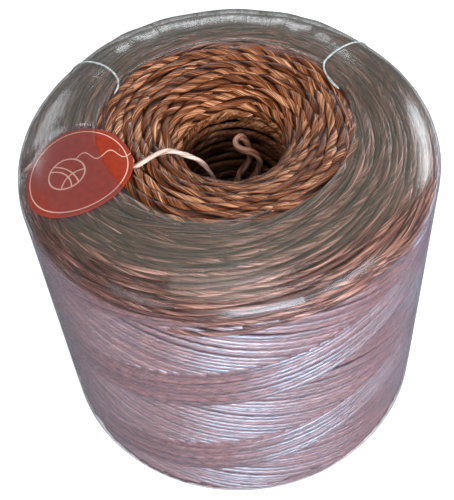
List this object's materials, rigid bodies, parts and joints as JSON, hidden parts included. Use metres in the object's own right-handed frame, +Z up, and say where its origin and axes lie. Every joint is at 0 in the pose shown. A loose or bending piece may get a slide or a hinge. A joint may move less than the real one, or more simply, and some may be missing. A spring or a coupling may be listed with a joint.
{
  "type": "roll of plastic twine",
  "caption": "Cross-wound roll of heavy copper-coloured plastic twine with an open core, in a clear shrink film with a round label and two loose twine ends.",
  "frame": {"origin": "centre of the flat ring that the roll stands on", "axes": "+Z up along the core, +Y away from the viewer, +X to the viewer's right, with the label at -X"},
  "size_m": [0.2513, 0.25, 0.2337],
  "materials": {
    "twine": "copper-coloured fibrillated polypropylene twine, half matt with a silky sheen",
    "film": "clear shrink film, glossy, milky where it is creased",
    "label": "orange-red printed paper with pale line ornament",
    "twine_end": "the same twine, paler where it lies loose"
  },
  "bodies": {
    "root": {"wound_roll": "twine", "film_sleeve": "film", "round_label": "label", "outer_end": "twine_end", "inner_end": "twine_end"}
  },
  "joints": []
}
